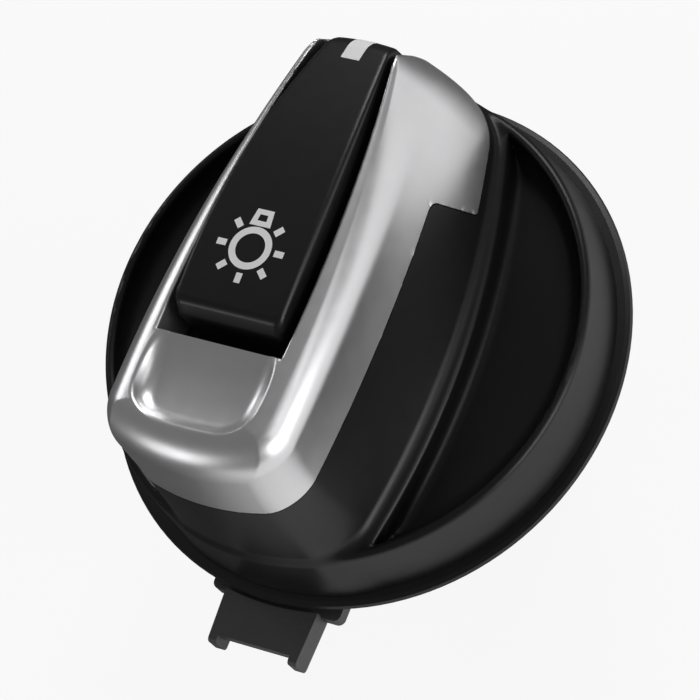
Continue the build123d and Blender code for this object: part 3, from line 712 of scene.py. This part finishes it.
def grown(name, tree, made, values):
    """Mesh that a Geometry Nodes group makes from its inputs."""
    obj = new_object(name, bpy.data.meshes.new(name))
    modifier = obj.modifiers.new("grow", "NODES")
    modifier.node_group = tree
    for item in tree.interface.items_tree:
        if item.in_out == "INPUT" and item.name in values:
            modifier[item.identifier] = values[item.name]
        if item.in_out == "INPUT" and item.name == "Material":
            modifier[item.identifier] = made
    bpy.context.view_layer.update()
    seen = obj.evaluated_get(bpy.context.evaluated_depsgraph_get())
    mesh = bpy.data.meshes.new_from_object(seen)
    obj.modifiers.clear()
    obj.data = mesh
    mesh.name = name
    return obj


def band_mesh(name, outlines, low, high):
    """Closed plate between two levels, from an outer and an inner outline of as many points."""
    outer, inner = outlines
    count = len(outer)
    points = [(x, y, z) for z in (low, high) for line in (outer, inner) for x, y in line]
    faces = []
    for k in range(count):
        m = (k + 1) % count
        faces.append((k, k + count, m + count, m))
        faces.append((k + 2 * count, m + 2 * count, m + 3 * count, k + 3 * count))
        faces.append((k, m, m + 2 * count, k + 2 * count))
        faces.append((k + count, k + 3 * count, m + 3 * count, m + count))
    mesh = bpy.data.meshes.new(name)
    mesh.from_pydata(points, [], faces)
    mesh.validate()
    return mesh


def circle(radius, count=72):
    """Points on a circle."""
    turns = [k * math.tau / count for k in range(count)]
    return [(radius * math.cos(turn), radius * math.sin(turn)) for turn in turns]


def outline(corners, parts=8):
    """Corners joined by divided sides."""
    line = []
    for k, (x0, y0) in enumerate(corners):
        x1, y1 = corners[(k + 1) % len(corners)]
        line += [(x0 + (x1 - x0) * s / parts, y0 + (y1 - y0) * s / parts) for s in range(parts)]
    return line


def lay_on_cap(obj, middle, rise):
    """Lay a flat sign on the cap's curved top, with its faces turned outwards."""
    for spot in obj.data.vertices:
        y = spot.co.y + middle
        spot.co = (spot.co.x, y, up(cap_level(y / MM)) + spot.co.z + rise)
    fix = bmesh.new()
    fix.from_mesh(obj.data)
    bmesh.ops.recalc_face_normals(fix, faces=fix.faces)
    fix.to_mesh(obj.data)
    fix.free()


class SWITCH_OT_marks(bpy.types.Operator):
    """Prints the lamp sign on the key cap"""

    bl_idname = "switch.marks"
    bl_label = "Signs"

    def execute(self, context):
        sizes = context.scene.switch_marks
        colour = context.scene.switch_colours.mark
        white = material("white_print", colour, 0.45, grain=6000.0, bump=0.1, shift=0.03)
        values = {
            "Places": SIGN_PLACES,
            "Distance": sizes.ray_distance,
            "Length": sizes.ray_length,
            "Width": sizes.ray_width,
            "Thickness": sizes.thickness,
        }
        rays = grown("sign_rays", ray_group(), white, values)
        half = sizes.thickness / 2
        rims = [circle(sizes.ring_radius + side * sizes.ring_width / 2) for side in (1, -1)]
        ring = new_object("sign_ring", band_mesh("sign_ring", rims, -half, half))
        sockets = (SOCKET_OUTER, SOCKET_INNER)
        lines = [outline([(x * MM, y * MM) for x, y in reversed(corners)]) for corners in sockets]
        base = new_object("sign_base", band_mesh("sign_base", lines, -half, half))
        for obj in (rays, ring, base):
            lay_on_cap(obj, sizes.middle, 0.2 * half)
            dress(obj, white)
            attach(obj, "knob")
        return {"FINISHED"}


class SWITCH_OT_works(bpy.types.Operator):
    """Finishes the pieces inside and behind the panel"""

    bl_idname = "switch.works"
    bl_label = "Works"

    def execute(self, context):
        steel = material("steel", (0.46, 0.46, 0.47), 0.32, metallic=1.0, grain=5000.0, bump=0.15)
        acetal = material("acetal", (0.78, 0.77, 0.72), 0.42, grain=6000.0, bump=0.15, shift=0.04)
        housing = material("black_housing", (0.016, 0.016, 0.017), 0.58, grain=4500.0, bump=0.4)
        board = material("green_board", (0.03, 0.16, 0.07), 0.38, grain=3000.0, bump=0.2, coat=0.3)
        copper = material("copper", (0.78, 0.42, 0.26), 0.3, metallic=1.0, grain=5000.0, bump=0.1)
        bronze = material("spring_bronze", (0.60, 0.44, 0.24), 0.3, metallic=1.0, grain=5000.0, bump=0.1)
        tin = material("tinned_pins", (0.66, 0.66, 0.64), 0.28, metallic=1.0, grain=5000.0, bump=0.1)
        resin = material("lamp_resin", (0.85, 0.80, 0.55), 0.3, grain=4000.0, bump=0.1)
        ceramic = material("ceramic", (0.05, 0.05, 0.055), 0.4, grain=4000.0, bump=0.2)
        finishes = (
            (clear_material(), ("light_guide",)),
            (housing, ("drive_hub", "rear_housing")),
            (steel, ("hub_screws", "hub_clip", "detent_spring_a", "detent_spring_b", "housing_screws")),
            (acetal, ("rotor", "detent_track", "detent_plunger_a", "detent_plunger_b")),
            (bronze, ("wiper_contacts",)),
            (board, ("contact_board",)),
            (copper, ("contact_tracks",)),
            (tin, ("terminals",)),
            (resin, ("lamp_led",)),
            (ceramic, ("series_resistor",)),
        )
        for made, names in finishes:
            for name in names:
                dress(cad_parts[name], made)
        return {"FINISHED"}


def area_light(name, toward, distance, size, power):
    """Soft square lamp that shines on the switch from a direction."""
    lamp = bpy.data.lights.new(name, "AREA")
    lamp.size = size
    lamp.energy = power
    way = Vector(toward).normalized()
    facing = way.to_track_quat("Z", "Y").to_matrix().to_4x4()
    new_object(name, lamp).matrix_world = Matrix.Translation(LAMP_AIM + way * distance) @ facing


def lay_floor(colour):
    """Pale floor under the switch: bright to the camera; to mirror rays it glows with a ramp from dark grey to
    white across the floor, a painted reflection for the metal.
    """
    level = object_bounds()[0][2] - FLOOR_GAP
    mesh = bpy.data.meshes.new("floor")
    corners = [(x, y, level) for x, y in ((-1, -1), (1, -1), (1, 1), (-1, 1))]
    mesh.from_pydata(corners, [], [(0, 1, 2, 3)])
    floor = new_object("floor", mesh)
    pale = bpy.data.materials.new("pale_floor")
    pale.use_nodes = True
    pale.node_tree.nodes.clear()
    n = Nodes(pale.node_tree)
    path = n.add("ShaderNodeLightPath").outputs
    seen = n.add("ShaderNodeMath", operation="MAXIMUM", i0=path["Is Camera Ray"], i1=path["Is Transmission Ray"])
    place = n.add("ShaderNodeTexCoord").outputs["Object"]
    cloud = n.add("ShaderNodeTexNoise", Vector=place, Scale=30.0).outputs["Fac"]
    ramp = n.add("ShaderNodeValToRGB", Fac=cloud)
    ramp.color_ramp.elements[0].color = (*[c * 0.99 for c in colour], 1)
    ramp.color_ramp.elements[1].color = (*colour, 1)
    matt = n.add("ShaderNodeBsdfDiffuse", Color=ramp.outputs["Color"])
    glow = n.add("ShaderNodeEmission", Strength=1.0)
    lit = n.add("ShaderNodeMixShader", i0=FLOOR_GLOW, i1=matt.outputs[0], i2=glow.outputs[0])
    pick = n.add("ShaderNodeMixShader", i0=seen.outputs[0], i1=matt.outputs[0], i2=lit.outputs[0])
    # Painted reflection: to mirror rays the floor glows dark on one side and white on the other, so the trim's
    # flank mirrors a bright band.
    across = n.add("ShaderNodeVectorMath", operation="DOT_PRODUCT", i0=place, i1=(0.95, -0.3, 0.0)).outputs["Value"]
    shade = n.add("ShaderNodeMapRange", Value=across, From_Min=-0.008, From_Max=0.036, To_Min=0.08, To_Max=1.0)
    grey = n.add("ShaderNodeEmission", Color=(1, 1, 1, 1), Strength=shade.outputs["Result"])
    pick = n.add("ShaderNodeMixShader", i0=path["Is Glossy Ray"], i1=pick.outputs[0], i2=grey.outputs[0])
    out = n.add("ShaderNodeOutputMaterial")
    pale.node_tree.links.new(pick.outputs[0], out.inputs["Surface"])
    mesh.materials.append(pale)
    floor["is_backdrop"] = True


def light_world():
    """Dim grey surroundings that the camera sees as white."""
    world = bpy.data.worlds.new("studio")
    bpy.context.scene.world = world
    world.use_nodes = True
    world.node_tree.nodes.clear()
    n = Nodes(world.node_tree)
    path = n.add("ShaderNodeLightPath").outputs
    seen = n.add("ShaderNodeMath", operation="MAXIMUM", i0=path["Is Camera Ray"], i1=path["Is Transmission Ray"])
    dim = n.add("ShaderNodeBackground", Color=(WORLD_GREY, WORLD_GREY, WORLD_GREY, 1), Strength=1.0)
    white = n.add("ShaderNodeBackground", Color=(1, 1, 1, 1), Strength=1.0)
    pick = n.add("ShaderNodeMixShader", i0=seen.outputs[0], i1=dim.outputs[0], i2=white.outputs[0])
    out = n.add("ShaderNodeOutputWorld")
    world.node_tree.links.new(pick.outputs[0], out.inputs["Surface"])


def set_camera():
    """Camera at the photo's place, rolled as the photo is."""
    azimuth, elevation, roll = (math.radians(a) for a in (CAMERA_AZIMUTH, CAMERA_ELEVATION, CAMERA_ROLL))
    flat = math.cos(elevation)
    back = Vector((math.sin(azimuth) * flat, -math.cos(azimuth) * flat, math.sin(elevation)))
    side = Vector((0, 0, 1)).cross(back).normalized()
    rise = back.cross(side)
    right = math.cos(roll) * side - math.sin(roll) * rise
    top = math.sin(roll) * side + math.cos(roll) * rise
    shift, lift = CAMERA_SHIFT
    spot = (shift * right + lift * top + CAMERA_DISTANCE * back) * MM + Vector((0, 0, RING_BACK))
    camera = bpy.data.cameras.new("camera")
    camera.sensor_width = 36.0
    camera.lens = CAMERA_LENS
    camera.clip_start = 0.01
    seat = new_object("camera", camera)
    seat.matrix_world = Matrix.Translation(spot) @ Matrix((right, top, back)).transposed().to_4x4()
    bpy.context.scene.camera = seat


class SWITCH_OT_stage(bpy.types.Operator):
    """Sets up the floor, the light and the camera"""

    bl_idname = "switch.stage"
    bl_label = "Stage"

    def execute(self, context):
        lay_floor(context.scene.switch_colours.floor)
        light_world()
        for lamp in LAMPS:
            area_light(*lamp)
        set_camera()
        context.scene.view_settings.view_transform = "Standard"
        return {"FINISHED"}


OPERATORS = (
    SWITCH_OT_mouldings,
    SWITCH_OT_trim,
    SWITCH_OT_marks,
    SWITCH_OT_works,
    SWITCH_OT_stage,
)


class SWITCH_PT_panel(bpy.types.Panel):
    """Lists the settings and the steps"""

    bl_idname = "SWITCH_PT_panel"
    bl_label = "Headlight switch"
    bl_space_type = "VIEW_3D"
    bl_region_type = "UI"
    bl_category = "Switch"

    def draw(self, context):
        for settings in (context.scene.switch_marks, context.scene.switch_colours):
            for key in settings.bl_rna.properties.keys():
                if key not in ("rna_type", "name"):
                    self.layout.prop(settings, key)
        for step in OPERATORS:
            self.layout.operator(step.bl_idname)


CLASSES = (SwitchMarks, SwitchColours, *OPERATORS, SWITCH_PT_panel)


def register():
    """Add the classes and the settings to Blender."""
    for kind in CLASSES:
        bpy.utils.register_class(kind)
    bpy.types.Scene.switch_marks = bpy.props.PointerProperty(type=SwitchMarks)
    bpy.types.Scene.switch_colours = bpy.props.PointerProperty(type=SwitchColours)


def unregister():
    """Take them out again."""
    del bpy.types.Scene.switch_marks
    del bpy.types.Scene.switch_colours
    for kind in reversed(CLASSES):
        bpy.utils.unregister_class(kind)


def main():
    """Run every step."""
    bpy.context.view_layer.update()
    register()
    for step in OPERATORS:
        group, name = step.bl_idname.split(".")
        getattr(getattr(bpy.ops, group), name)()


if __name__ == "__main__":
    main()
